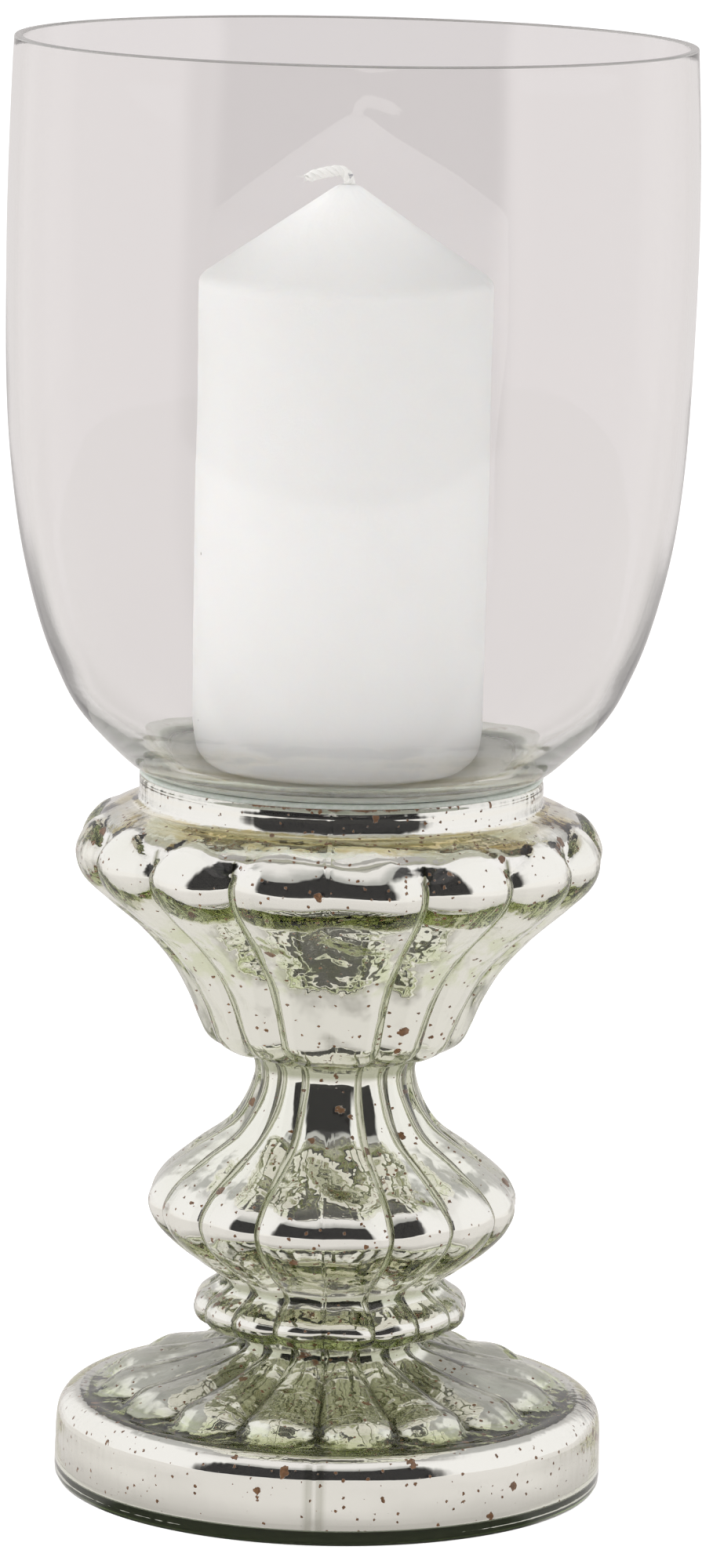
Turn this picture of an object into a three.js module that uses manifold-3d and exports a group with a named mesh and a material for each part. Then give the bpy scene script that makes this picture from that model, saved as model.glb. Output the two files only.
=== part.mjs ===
// Hurricane candle lantern.
//
// A clear blown-glass shade is bonded into the collar of a mould-blown, silvered and fluted glass
// pedestal, and a pillar candle stands loose on the shade's floor. Units are millimetres, +Z is up, the
// front faces -Y and the origin is the centre of the ring that the foot rests on.

import * as THREE from "three";
import { mergeVertices } from "three/addons/utils/BufferGeometryUtils.js";
import Module from "manifold-3d";

// ---------------------------------------------------------------- driving dimensions

const FLUTES = 16; // lobes round the pedestal, with a mould seam in the front and the back groove
const GROOVE_SHARPNESS = 2.4; // power of the curve across a lobe: higher gives flatter lobes, tighter grooves
const SEAM_GROOVE = 0.3; // depth of the two seam grooves, as a share of the others, above the foot

const FOOT_HEEL = 3.4; // thickness of the glass floor under the foot's hollow
const FOOT_REST_INNER = 56; // the foot rests on a flat ring between these two radii
const FOOT_REST_OUTER = 71.4;
const PUNT_RISE = 1.5; // how far the underside is hollowed at its centre

const PETAL_TIP = 61.4; // radius at which the foot's petals end, and where they start to narrow
const PETAL_STRAIGHT = 51;
const GADROON_TIP = 178.6; // height at which the bowl's gadroons end, and where they start to narrow
const GADROON_STRAIGHT = 168.5;

const COLLAR_RADIUS = 52.8;
const COLLAR_TOP = 188.2;
const COLLAR_BORE = 50.4;
const RIM_ROUND = 0.9; // rounding of the collar's and the shade's rims

const SILVER_GAP = 0.3; // modelling gap between the silvering and the glass that it coats
const SILVER_THICK = 0.5; // the film and its backing lacquer, thickened to a solid
const SILVER_TOP = COLLAR_TOP - 0.5;

const OVERALL_HEIGHT = 380;
const SHADE_PLUG_RADIUS = 47.9; // the part of the shade's base that sits inside the collar
const SHADE_PLUG_ROUND = 2.4; // rounding of its lower edge
const SHADE_BASE = 183.4;
const SHADE_FLOOR = 190.3;
const SHADE_FLOOR_RADIUS = 43; // the flat part of the floor, inside the round corner
const SHADE_RIM_RADIUS = 88;
const SHADE_WALL = 2.2;

const BOND_GAP = 0.4; // from the adhesive to the glass on either side of it
const BOND_THICK = 1;
const BOND_OVERHANG = 51.6; // radius to which its bead spreads on the collar's rim
const BOND_BASE = SHADE_BASE + 1.2;

const CANDLE_ASIDE = -1.4; // the candle stands a little to the left of the middle
const CANDLE_RADIUS = 38.1; // a 3 x 6 inch pillar
const CANDLE_HEIGHT = 152.4;
const CANDLE_CONE = 24.6; // height of the pointed top
const CANDLE_BASE = SHADE_FLOOR + 0.3;
const CANDLE_TOP = CANDLE_BASE + CANDLE_HEIGHT;
const CANDLE_TIP_RADIUS = 3.2;
const CANDLE_EDGE = 1.2; // rounding of the base and the shoulder
const WICK_RADIUS = 1.2;
const WICK_BORE = 1.6;

const ROUND_SIDES = 32; // sides of every plain round surface, the same for all so that their gaps stay even
const SIDES_PER_FLUTE = 4;
const HOLLOW_ROWS = 0.7; // rows of faces along the hollow, for each row of its outline
const MOUTH_CLEAR = 2; // how far the tool that cuts the hollow stands out of the mouth

// ---------------------------------------------------------------- outlines

// Each row is [radius, height, groove depth] along the middle of a lobe, from the heel of the foot up.
const PEDESTAL_FOOT = [
  [FOOT_REST_OUTER, 0, 0],
  [72, 0.8, 0],
  [72.2, 3, 0],
  [72.2, 9, 0],
  [72.1, 15, 0],
  [71.5, 18.6, 0],
  [69.8, 21.2, 0],
  [67.2, 22.6, 0],
  [64.6, 23, 0],
  [62.6, 23.1, 0.2],
  [60.6, 24.6, 1.2],
  [57.6, 26.8, 3],
  [53.6, 29.2, 4.4],
  [47, 30.6, 4.4],
  [39, 32.4, 3.6],
  [31, 34.6, 2.6],
  [24.6, 37.2, 1.4],
];
const PEDESTAL_RING = [
  [25.4, 39.8, 1],
  [31.6, 41.2, 1.1],
  [35.4, 43.4, 1.3],
  [36.2, 46.2, 1.4],
  [35, 49.3, 1.2],
  [31.6, 51.8, 0.8],
];
const PEDESTAL_BULB = [
  [29.2, 54, 0.6],
  [34.3, 58, 1.3],
  [41.8, 63.6, 1.8],
  [46.9, 69, 2],
  [48.8, 75.4, 2],
  [46, 81.8, 2],
  [37.2, 88.6, 1.8],
  [27.3, 96, 1.5],
  [22.8, 104, 1.3],
  [21.4, 111.4, 1.2],
];
const PEDESTAL_BOWL = [
  [23, 114.5, 1.2],
  [28.8, 116.1, 1.7],
  [33.8, 119.2, 2.2],
  [36.2, 123.8, 2.4],
  [38.7, 130, 2.3],
  [43.8, 139, 2.2],
  [51.8, 148, 2.4],
  [61.4, 156.2, 2.9],
  [67.8, 162.6, 3.4],
  [69.4, 168.4, 3.6],
  [67.9, 173.2, 3.6],
  [65.2, 176.6, 2.8],
  [62.6, 178.2, 1.3],
  [60.2, 179.1, 0.3],
  [57.4, 180.2, 0],
  [54.6, 181.2, 0],
];
const PEDESTAL_COLLAR = [
  [COLLAR_RADIUS, 182.2, 0],
  [COLLAR_RADIUS, 184.4, 0],
  [COLLAR_RADIUS, COLLAR_TOP - RIM_ROUND, 0],
];

// The inside wall of the pedestal's glass, [radius, height] from the floor's rim up to the mouth.
const PEDESTAL_HOLLOW = [
  [60, FOOT_HEEL],
  [67.4, FOOT_HEEL + 0.4],
  [69, 5.8],
  [68.8, 13.4],
  [66.4, 17.4],
  [60, 19.6],
  [50, 21.4],
  [39, 24.6],
  [29, 28.8],
  [21.5, 33],
  [19, 37.2],
  [22.6, 41.4],
  [29.4, 43.6],
  [31.4, 46.2],
  [28.6, 49.6],
  [26.6, 54],
  [30.6, 59.4],
  [39.6, 67.6],
  [43.2, 75.4],
  [40.4, 81.6],
  [31.4, 88.4],
  [23.6, 95.6],
  [18.8, 104],
  [17.4, 112],
  [18.6, 118.4],
  [25.6, 122.4],
  [30.8, 128],
  [36, 137],
  [43.6, 146.6],
  [53.4, 155],
  [61.4, 161.8],
  [63.4, 168.2],
  [60.6, 173.4],
  [54.6, 176.8],
  [COLLAR_BORE, 179.6],
];

// The section of the adhesive ring, [radius, height], closing on itself.
const BOND_INNER = SHADE_PLUG_RADIUS + BOND_GAP;
const BOND_OUTER = BOND_INNER + BOND_THICK;
const BOND_SECTION = [
  [BOND_INNER, BOND_BASE],
  [BOND_OUTER, BOND_BASE],
  [BOND_OUTER, COLLAR_TOP + 0.3],
  [BOND_OVERHANG, COLLAR_TOP + 0.3],
  [BOND_OVERHANG, COLLAR_TOP + 1.1],
  [BOND_INNER, COLLAR_TOP + 0.5],
  [BOND_INNER, BOND_BASE],
];

// The outside of the shade above the collar, [radius, height], and how thick its wall is there.
const SHADE_WALL_STATIONS = [
  [51.6, COLLAR_TOP + 1.5, 4.6],
  [53.6, COLLAR_TOP + 2.3, 4.6],
  [59.7, 195.6, 4.2],
  [69.7, 206.6, 3.6],
  [75.1, 217, 3.3],
  [79.1, 227.4, 3],
  [84.4, 248, 2.6],
  [87.4, 268.6, 2.4],
  [88.9, 290, 2.3],
  [89.3, 325, SHADE_WALL],
  [88.8, 355, SHADE_WALL],
  [SHADE_RIM_RADIUS, OVERALL_HEIGHT - RIM_ROUND, SHADE_WALL],
];

// Where the wick's line runs from the candle's base, up the bore and over to the left.
const WICK_POINTS = [
  [0, 0, CANDLE_BASE + 1],
  [0, 0, CANDLE_BASE + CANDLE_HEIGHT / 2],
  [0, 0, CANDLE_TOP - 2],
  [0.1, 0, CANDLE_TOP + 1.2],
  [-1.6, -0.1, CANDLE_TOP + 3.1],
  [-5.6, -0.3, CANDLE_TOP + 2.9],
  [-11.2, -0.5, CANDLE_TOP + 1.3],
];
const WICK_STEPS = 26;

// ---------------------------------------------------------------- shared geometry

const wasm = await Module();
wasm.setup();

/** Points at even steps along a smooth curve through rows of two or three numbers. */
function smooth(rows, perRow) {
  const curve = new THREE.CatmullRomCurve3(
    rows.map(([a, b, c = 0]) => new THREE.Vector3(a, b, c)),
    false,
    "centripetal",
  );
  return curve.getPoints(Math.round(perRow * (rows.length - 1)));
}

/** The profile moved sideways by a distance: positive moves it to the left of its direction. */
function offset(profile, distance) {
  return profile.map((point, i) => {
    const before = profile[Math.max(i - 1, 0)];
    const after = profile[Math.min(i + 1, profile.length - 1)];
    const along = new THREE.Vector2(after.x - before.x, after.y - before.y).normalize();
    const by = typeof distance === "function" ? distance(point) : distance;
    return new THREE.Vector2(point.x - along.y * by, point.y + along.x * by);
  });
}

/** A quarter or half round between two angles in degrees, about a centre. */
function roundOff(centreR, centreZ, radius, from, to, steps = 4) {
  return Array.from({ length: steps + 1 }, (_, i) => {
    const angle = THREE.MathUtils.degToRad(from + ((to - from) * i) / steps);
    return new THREE.Vector2(
      centreR + radius * Math.cos(angle),
      centreZ + radius * Math.sin(angle),
    );
  });
}

/** Turns a profile of (radius, height) about the Z axis, with a flat seam facing the front. */
function turned(profile, sides) {
  const geometry = new THREE.LatheGeometry(
    profile.map((p) => new THREE.Vector2(Math.max(p.x, 0), p.y)),
    sides,
  );
  return geometry.rotateX(Math.PI / 2);
}

/** A closed geometry as a manifold-3d solid. */
function solid(geometry) {
  const bare = new THREE.BufferGeometry();
  bare.setAttribute("position", geometry.getAttribute("position"));
  bare.setIndex(geometry.getIndex());
  const merged = mergeVertices(bare, 1e-3);
  return new wasm.Manifold(
    new wasm.Mesh({
      numProp: 3,
      vertProperties: merged.getAttribute("position").array,
      triVerts: new Uint32Array(merged.getIndex().array),
    }),
  );
}

/** The first geometry with the second one cut out of it. */
function cut(geometry, tool) {
  const mesh = solid(geometry).subtract(solid(tool)).getMesh();
  const result = new THREE.BufferGeometry();
  result.setAttribute("position", new THREE.BufferAttribute(mesh.vertProperties, 3));
  result.setIndex(new THREE.BufferAttribute(mesh.triVerts, 1));
  result.computeVertexNormals();
  return result;
}

function piece(name, geometry, material) {
  const mesh = new THREE.Mesh(geometry, material);
  mesh.name = name;
  return mesh;
}

// ---------------------------------------------------------------- pedestal

/** How wide a lobe is at a point of the outline: 1 along its length, less where its end rounds off. */
function lobeWidth(radius, height) {
  const petal = (radius - PETAL_STRAIGHT) / (PETAL_TIP - PETAL_STRAIGHT);
  const gadroon = (height - GADROON_STRAIGHT) / (GADROON_TIP - GADROON_STRAIGHT);
  const past = THREE.MathUtils.clamp(height < COLLAR_TOP / 2 ? petal : gadroon, 0, 0.98);
  return Math.sqrt(1 - past * past);
}

/** From 0 along the middle of a lobe to 1 in the groove, at an angle about the axis from the front. */
function groove(angle, radius, height) {
  const pitch = (2 * Math.PI) / FLUTES;
  const turns = angle / pitch;
  const fromGroove = Math.abs(turns - Math.round(turns)); // 0 in the groove, 0.5 in mid-lobe
  const across = 1 - 2 * fromGroove;
  const share = Math.min(1, across / lobeWidth(radius, height)) ** GROOVE_SHARPNESS;
  const seam = Math.round(turns) % (FLUTES / 2) === 0 && height > COLLAR_TOP / 4;
  return seam ? share * SEAM_GROOVE : share;
}

function pedestalOutline() {
  const rest = [
    [0, PUNT_RISE, 0],
    [28, PUNT_RISE, 0],
    [FOOT_REST_INNER, 0, 0],
  ].map((row) => new THREE.Vector3(...row));
  const side = smooth(
    [
      ...PEDESTAL_FOOT,
      ...PEDESTAL_RING,
      ...PEDESTAL_BULB,
      ...PEDESTAL_BOWL,
      ...PEDESTAL_COLLAR,
    ],
    1,
  );
  const rim = roundOff(COLLAR_RADIUS - RIM_ROUND, COLLAR_TOP - RIM_ROUND, RIM_ROUND, 30, 90, 2);
  return [...rest, ...side, ...rim, new THREE.Vector2(0, COLLAR_TOP)];
}

/** The pedestal's outer surface: a turned outline whose grooves are pushed in along its normal. */
function flutedBody() {
  const outline = pedestalOutline();
  const sunk = offset(outline, (p) => p.z || 0);
  const geometry = turned(outline, FLUTES * SIDES_PER_FLUTE);
  const position = geometry.getAttribute("position");
  for (let i = 0; i < position.count; i++) {
    const row = i % outline.length;
    if (!outline[row].z) continue;
    const angle = Math.atan2(position.getX(i), -position.getY(i));
    const by = groove(angle, outline[row].x, outline[row].y);
    const radius = THREE.MathUtils.lerp(outline[row].x, sunk[row].x, by);
    const height = THREE.MathUtils.lerp(outline[row].y, sunk[row].y, by);
    position.setXYZ(i, radius * Math.sin(angle), -radius * Math.cos(angle), height);
  }
  return geometry;
}

function hollowOutline() {
  return smooth(PEDESTAL_HOLLOW, HOLLOW_ROWS);
}

function pedestal() {
  const mouth = [
    new THREE.Vector2(COLLAR_BORE, COLLAR_TOP + MOUTH_CLEAR),
    new THREE.Vector2(0, COLLAR_TOP + MOUTH_CLEAR),
  ];
  const hollow = turned(
    [new THREE.Vector2(0, FOOT_HEEL), ...hollowOutline(), ...mouth],
    ROUND_SIDES,
  );
  return cut(flutedBody(), hollow);
}

/** The mirror film on the inside of the pedestal's glass, open at the mouth. */
function silvering() {
  const wall = [...hollowOutline(), new THREE.Vector2(COLLAR_BORE, SILVER_TOP)];
  const front = offset(wall, SILVER_GAP);
  const back = offset(wall, SILVER_GAP + SILVER_THICK);
  return turned(
    [
      new THREE.Vector2(0, front[0].y),
      ...front,
      ...back.reverse(),
      new THREE.Vector2(0, FOOT_HEEL + SILVER_GAP + SILVER_THICK),
    ],
    ROUND_SIDES,
  );
}

// ---------------------------------------------------------------- shade and bond

function shade() {
  const outside = smooth(SHADE_WALL_STATIONS, 1.2);
  const inside = offset(outside, (p) => p.z).reverse();
  const rim = roundOff(
    SHADE_RIM_RADIUS - SHADE_WALL / 2,
    OVERALL_HEIGHT - SHADE_WALL / 2,
    SHADE_WALL / 2,
    20,
    160,
    4,
  );
  const plug = [
    new THREE.Vector2(0, SHADE_BASE),
    ...roundOff(
      SHADE_PLUG_RADIUS - SHADE_PLUG_ROUND,
      SHADE_BASE + SHADE_PLUG_ROUND,
      SHADE_PLUG_ROUND,
      -90,
      0,
      3,
    ),
    new THREE.Vector2(SHADE_PLUG_RADIUS, COLLAR_TOP + 0.8),
  ];
  const floor = [
    new THREE.Vector2(SHADE_FLOOR_RADIUS, SHADE_FLOOR),
    new THREE.Vector2(0, SHADE_FLOOR),
  ];
  const wall = inside.filter((p) => p.y > SHADE_FLOOR + 0.4 && p.y < OVERALL_HEIGHT - SHADE_WALL);
  return turned([...plug, ...outside, ...rim, ...wall, ...floor], ROUND_SIDES);
}

/** The clear adhesive between the shade's plug and the collar, with a bead on top of the collar's rim. */
function bondRing() {
  return turned(
    BOND_SECTION.map(([r, z]) => new THREE.Vector2(r, z)),
    ROUND_SIDES,
  );
}

// ---------------------------------------------------------------- candle

function candleWax() {
  const shoulder = CANDLE_TOP - CANDLE_CONE;
  const profile = [
    [WICK_BORE, CANDLE_BASE],
    [CANDLE_RADIUS - CANDLE_EDGE, CANDLE_BASE],
    [CANDLE_RADIUS, CANDLE_BASE + CANDLE_EDGE],
    [CANDLE_RADIUS, shoulder - CANDLE_EDGE],
    [CANDLE_RADIUS - 0.3, shoulder],
    [CANDLE_RADIUS - 1.6, shoulder + CANDLE_EDGE],
    [CANDLE_TIP_RADIUS, CANDLE_TOP - 0.6],
    [WICK_BORE, CANDLE_TOP],
    [WICK_BORE, CANDLE_BASE],
  ].map(([r, z]) => new THREE.Vector2(r, z));
  return turned(profile, ROUND_SIDES).translate(CANDLE_ASIDE, 0, 0);
}

function wick() {
  const path = new THREE.CatmullRomCurve3(WICK_POINTS.map((p) => new THREE.Vector3(...p)));
  const section = new THREE.Shape().absarc(0, 0, WICK_RADIUS, 0, 2 * Math.PI);
  const cord = new THREE.ExtrudeGeometry(section, {
    steps: WICK_STEPS,
    curveSegments: 4,
    extrudePath: path,
  });
  return cord.translate(CANDLE_ASIDE, 0, 0);
}

// ---------------------------------------------------------------- assembly

const CLEAR_GLASS = new THREE.MeshStandardMaterial({
  color: 0xdedbd9,
  roughness: 0.03,
  metalness: 0,
  transparent: true,
  opacity: 0.35,
});
const PALE_GREEN_GLASS = new THREE.MeshStandardMaterial({
  color: 0xc9d4c2,
  roughness: 0.04,
  metalness: 0,
  transparent: true,
  opacity: 0.4,
});
const SILVER_FILM = new THREE.MeshStandardMaterial({
  color: 0xe6e2dc,
  roughness: 0.08,
  metalness: 1,
});
const ADHESIVE = new THREE.MeshStandardMaterial({ color: 0xe3ebe0, roughness: 0.5, metalness: 0 });
const WAX = new THREE.MeshStandardMaterial({ color: 0xf4f3ef, roughness: 0.55, metalness: 0 });
const COTTON = new THREE.MeshStandardMaterial({ color: 0xefece6, roughness: 0.95, metalness: 0 });

const lantern = new THREE.Group();

const base = new THREE.Group();
base.add(piece("pedestal", pedestal(), PALE_GREEN_GLASS));
base.add(piece("silvering", silvering(), SILVER_FILM));
lantern.add(base);

const glassware = new THREE.Group();
glassware.add(piece("shade", shade(), CLEAR_GLASS));
glassware.add(piece("bond_ring", bondRing(), ADHESIVE));
lantern.add(glassware);

const candle = new THREE.Group();
candle.add(piece("candle_wax", candleWax(), WAX));
candle.add(piece("wick", wick(), COTTON));
lantern.add(candle);

export default lantern;
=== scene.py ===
"""Looks of the hurricane candle lantern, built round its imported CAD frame. Blender 4.5.

Outlines are in millimetres, as in the CAD part, and are scaled to metres when a mesh is made. +Z is up,
the front, with a mould seam, faces -Y, and angles round the axis are measured from the front towards +X.
"""

import math

import bmesh
import bpy
import numpy as np
from mathutils import Matrix, Vector


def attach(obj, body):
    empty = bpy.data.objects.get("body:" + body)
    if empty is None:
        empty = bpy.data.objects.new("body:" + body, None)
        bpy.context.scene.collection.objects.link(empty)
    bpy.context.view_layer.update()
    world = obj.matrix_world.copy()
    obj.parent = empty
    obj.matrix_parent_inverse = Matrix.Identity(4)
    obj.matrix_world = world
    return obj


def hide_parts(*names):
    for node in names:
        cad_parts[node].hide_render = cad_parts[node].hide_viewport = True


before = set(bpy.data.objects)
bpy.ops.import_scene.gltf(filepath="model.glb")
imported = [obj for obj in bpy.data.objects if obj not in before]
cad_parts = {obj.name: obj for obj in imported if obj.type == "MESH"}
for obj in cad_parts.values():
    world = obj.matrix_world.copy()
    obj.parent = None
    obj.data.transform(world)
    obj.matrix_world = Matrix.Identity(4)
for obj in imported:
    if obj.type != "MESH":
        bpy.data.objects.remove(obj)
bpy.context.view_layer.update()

MM = 0.001

# ------------------------ sizes, in millimetres

GLASS_WALL = 1.6  # from the outside of the pedestal to its silvering, where the bulges are widest
THICKEST_WALL = 3.2
# Each bulge has a radius and the heights where it starts and ends. Away from it the blown wall gets
# thicker by the last number, a share of the distance in.
BULGES = [[64.6, 0, 39, 0.35], [36.2, 39, 55, 0.3], [49, 55, 112, 0.14], [69.4, 112, 182, 0.35]]
FOOT_MIRROR = 70.2  # radius of the silvered wall of the foot, and the rounding at its top
SHOULDER_ROUND = 5.2
SHOULDER_START = 16.2
FLUTES = 16  # lobes round the pedestal, with a mould seam in the front and the back groove
COLUMNS_PER_FLUTE = 12
ROW = 1.2  # spacing of the rings of points up the outside and the inside of the pedestal
INNER_ROW = 1.9
GROOVE_REACH = 0.975  # how far round its half-ellipse a lobe goes before it meets the next one
SEAM_GROOVE = 0.22  # depth of the two seam grooves, as a share of the others, above the foot
SEAM_RIDGE = 0.4  # height and half-width of the raised line that the mould's joint leaves
SEAM_HALF_WIDTH = 0.45
SEAM_DEEPENS = (90, 158)  # heights between which the seam grooves are twice as deep
SEAM_FADES = 161  # and above which they are shallower
FLANGE_FOOT = 172  # height from which the grooves get shallower inside the glass
COLLAR_FOOT = 181  # height above which the inside is smoother
CREASE_HALF_WIDTH = 0.5  # of the dark line in the grooves between two lobes, where the silver ran thin, with painted shade

FOOT_REST_INNER = 56.0
FOOT_REST_OUTER = 71.4
PUNT_RISE = 1.5
FOOT_HEEL = 3.4
PLAIN_FOOT = 23.5  # height up to which the foot is plain, below its petals
CORNER = 0.9  # radius inside the hollow between its floor and its wall
FOOT_FLAT = FOOT_MIRROR - CORNER

PETAL_TIP = 61.4
PETAL_STRAIGHT = 51.0
GADROON_TIP = 178.6
GADROON_STRAIGHT = 168.5

COLLAR_RADIUS = 52.8
COLLAR_TOP = 188.2
COLLAR_BORE = 50.4
RIM_ROUND = 0.9
SILVER_TOP = 187.7
SILVER_BEDDED = 0.05  # how far the silvering's face is sunk in the glass, so that no air lies between
SILVER_THICK = 0.3
INNER_GROOVE_REACH = 0.955  # the lobes are rounder on the inside of the glass

OVERALL_HEIGHT = 380.0
SHADE_PLUG_RADIUS = 47.9
SHADE_PLUG_ROUND = 2.4
SHADE_BASE = 183.4
SHADE_FLOOR = 190.3
SHADE_RIM_RADIUS = 88.0
SHADE_WALL = 2.2
BASE_GLASS_TOP = 192.2  # up to here the outside shows the thick glass of the base, painted pale

CANDLE_ASIDE = -1.4  # the candle stands a little to the left of the middle
CANDLE_RADIUS = 38.1
CANDLE_HEIGHT = 152.4
CANDLE_CONE = 24.6
CANDLE_BASE = SHADE_FLOOR + 0.3
CANDLE_TOP = CANDLE_BASE + CANDLE_HEIGHT
CANDLE_TIP_RADIUS = 3.2
CANDLE_EDGE = 1.2
WICK_BORE = 1.6
WICK_STRAND_RADIUS = 0.8
WICK_LAY = 5.5  # length of one turn of the wick's strands

# Each row is [radius, height, groove depth] along the middle of a lobe, from the heel of the foot up.
PEDESTAL_OUTLINE = [
    [FOOT_REST_OUTER, 0, 0],
    [72, 0.8, 0],
    [72.2, 3, 0],
    [72.2, 9, 0],
    [72.1, 15, 0],
    [71.5, 18.6, 0],
    [69.8, 21.2, 0],
    [67.2, 22.6, 0],
    [64.6, 23, 0],
    [62.6, 23.1, 0.2],
    [60.6, 24.6, 1.2],
    [57.6, 26.8, 3],
    [53.6, 29.2, 4.4],
    [47, 30.6, 4.4],
    [39, 32.4, 3.6],
    [31, 34.6, 2.6],
    [24.6, 37.2, 1.4],
    [25.4, 39.8, 1],
    [31.6, 41.2, 1.1],
    [35.4, 43.4, 1.3],
    [36.2, 46.2, 1.4],
    [35, 49.3, 1.2],
    [31.6, 51.8, 0.8],
    [29.2, 54, 0.6],
    [34.3, 58, 1.3],
    [41.8, 63.6, 1.8],
    [47, 69.2, 2.1],
    [49, 74.8, 2.2],
    [46.4, 80.6, 2.1],
    [37.4, 88.4, 1.8],
    [27.3, 96, 1.5],
    [22.8, 104, 1.3],
    [21.4, 111.4, 1.2],
    [23, 114.5, 1.2],
    [28.8, 116.1, 1.7],
    [33.8, 119.2, 2.2],
    [36.2, 123.8, 2.4],
    [38.7, 130, 2.3],
    [43.8, 139, 2.2],
    [51.8, 148, 2.4],
    [61.4, 156.2, 2.9],
    [67.8, 162.6, 3.4],
    [69.4, 168.4, 3.6],
    [67.9, 173.2, 3.6],
    [65.2, 176.6, 2.4],
    [62.6, 178.2, 0.8],
    [60.2, 179.1, 0.1],
    [57.4, 180.2, 0],
    [54.6, 181.2, 0],
    [COLLAR_RADIUS, 182.2, 0],
    [COLLAR_RADIUS, 184.4, 0],
    [COLLAR_RADIUS, COLLAR_TOP - RIM_ROUND, 0],
]

# The outside of the shade above the collar, [radius, height, wall].
SHADE_OUTLINE = [
    [51.6, COLLAR_TOP + 1.5, 4.6],
    [53.6, COLLAR_TOP + 2.3, 4.6],
    [59.7, 195.6, 4.2],
    [69.7, 206.6, 3.6],
    [75.1, 217, 3.3],
    [79.1, 227.4, 3],
    [84.4, 248, 2.6],
    [87.4, 268.6, 2.4],
    [88.9, 290, 2.3],
    [89.3, 325, SHADE_WALL],
    [88.8, 355, SHADE_WALL],
    [SHADE_RIM_RADIUS, OVERALL_HEIGHT - RIM_ROUND, SHADE_WALL],
]

# Where the wick's line runs out of the candle's top and over to the left.
WICK_LINE = [
    [0, 0, CANDLE_TOP - 8],
    [0, 0, CANDLE_TOP - 2],
    [0.1, 0, CANDLE_TOP + 1.2],
    [-1.6, -0.1, CANDLE_TOP + 3.1],
    [-5.6, -0.3, CANDLE_TOP + 2.9],
    [-11.2, -0.5, CANDLE_TOP + 1.3],
]

WICK_STEP = 0.22  # spacing of the rings of points along the wick
LOOSE_FIBRES = 11

BOND_FOOT = 184.6
SHADE_EVEN_TOP = 195  # height from which the shade gets uneven
GROUND, CLEAR, RIM, THICK = range(4)  # material slots of the shade

# ------------------------ outlines and meshes


def smooth(rows, spacing):
    """Points at even spacing along a centripetal Catmull-Rom curve through rows of coordinates."""
    points = np.array(rows, float)
    points = np.vstack([2 * points[0] - points[1], points, 2 * points[-1] - points[-2]])
    t = np.linspace(0, 1, 24, endpoint=False)[:, None]
    curve = []
    for a, b, c, d in zip(points, points[1:], points[2:], points[3:]):
        ab, bc, cd = (np.linalg.norm(q - p) ** 0.5 for p, q in ((a, b), (b, c), (c, d)))
        leaving = ((b - a) / ab - (c - a) / (ab + bc) + (c - b) / bc) * bc
        arriving = ((c - b) / bc - (d - b) / (bc + cd) + (d - c) / cd) * bc
        curve.append(
            (2 * t**3 - 3 * t**2 + 1) * b
            + (t**3 - 2 * t**2 + t) * leaving
            + (3 * t**2 - 2 * t**3) * c
            + (t**3 - t**2) * arriving
        )
    return evenly(np.vstack([*curve, points[-2]]), spacing)


def evenly(points, spacing):
    """The same line with its points at even spacing."""
    points = np.array(points, float)
    along = np.r_[0, np.cumsum(np.linalg.norm(np.diff(points[:, :3], axis=0), axis=1))]
    steps = np.linspace(0, along[-1], max(2, round(along[-1] / spacing) + 1))
    return np.column_stack([np.interp(steps, along, column) for column in points.T])


def outward(outline):
    """Unit normals of an outline in (radius, height), on the side away from what it encloses."""
    along = np.gradient(outline[:, :2], axis=0)
    along /= np.linalg.norm(along, axis=1)[:, None]
    return np.column_stack([along[:, 1], -along[:, 0]])


def rounding(centre_r, centre_z, radius, start, end, steps=6):
    """Points round part of a circle, between two angles in degrees above the horizontal."""
    angles = np.radians(np.linspace(start, end, steps))
    return np.column_stack([centre_r + radius * np.cos(angles), centre_z + radius * np.sin(angles)])


def revolve(radius, height, angles):
    """Rings of points: radius and height are by row, or by row and column."""
    radius = np.broadcast_to(np.atleast_2d(radius.T).T, (len(radius), len(angles)))
    height = np.broadcast_to(np.atleast_2d(height.T).T, radius.shape)
    return np.stack([radius * np.sin(angles), -radius * np.cos(angles), height], axis=-1)


def skin(name, rings, loop=False, crease_shade=None):
    """A closed mesh from rings of points in millimetres. Ends on the axis close to a point.

    crease is a number for each point, which the material can read.
    """
    rows, columns = rings.shape[:2]
    index = np.arange(rows * columns).reshape(rows, columns)
    if loop:
        index = np.vstack([index, index[:1]])
    low, high = index[:-1], index[1:]
    quads = np.stack([low, np.roll(low, -1, 1), np.roll(high, -1, 1), high], axis=-1)
    mesh = bpy.data.meshes.new(name)
    mesh.from_pydata((rings.reshape(-1, 3) * MM).tolist(), [], quads.reshape(-1, 4).tolist())
    if crease_shade is not None:
        mesh.attributes.new("crease_shade", "FLOAT", "POINT").data.foreach_set("value", crease_shade.ravel())
    return finish_mesh(name, mesh)


def finish_mesh(name, mesh):
    """Welds the mesh, turns its faces outward, smooths it and links it as an object."""
    work = bmesh.new()
    work.from_mesh(mesh)
    bmesh.ops.remove_doubles(work, verts=work.verts, dist=0.002 * MM)
    bmesh.ops.dissolve_degenerate(work, edges=work.edges, dist=0.001 * MM)
    bmesh.ops.recalc_face_normals(work, faces=work.faces)
    work.to_mesh(mesh)
    work.free()
    mesh.polygons.foreach_set("use_smooth", [True] * len(mesh.polygons))
    piece = bpy.data.objects.new(name, mesh)
    bpy.context.scene.collection.objects.link(piece)
    return piece


def paint_below(piece, slot, height, facing_down=False):
    """Gives the faces below a height, in millimetres, another of the piece's materials."""
    for face in piece.data.polygons:
        if face.center.z < height * MM and (face.normal.z < 0 or not facing_down):
            face.material_index = slot


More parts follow.
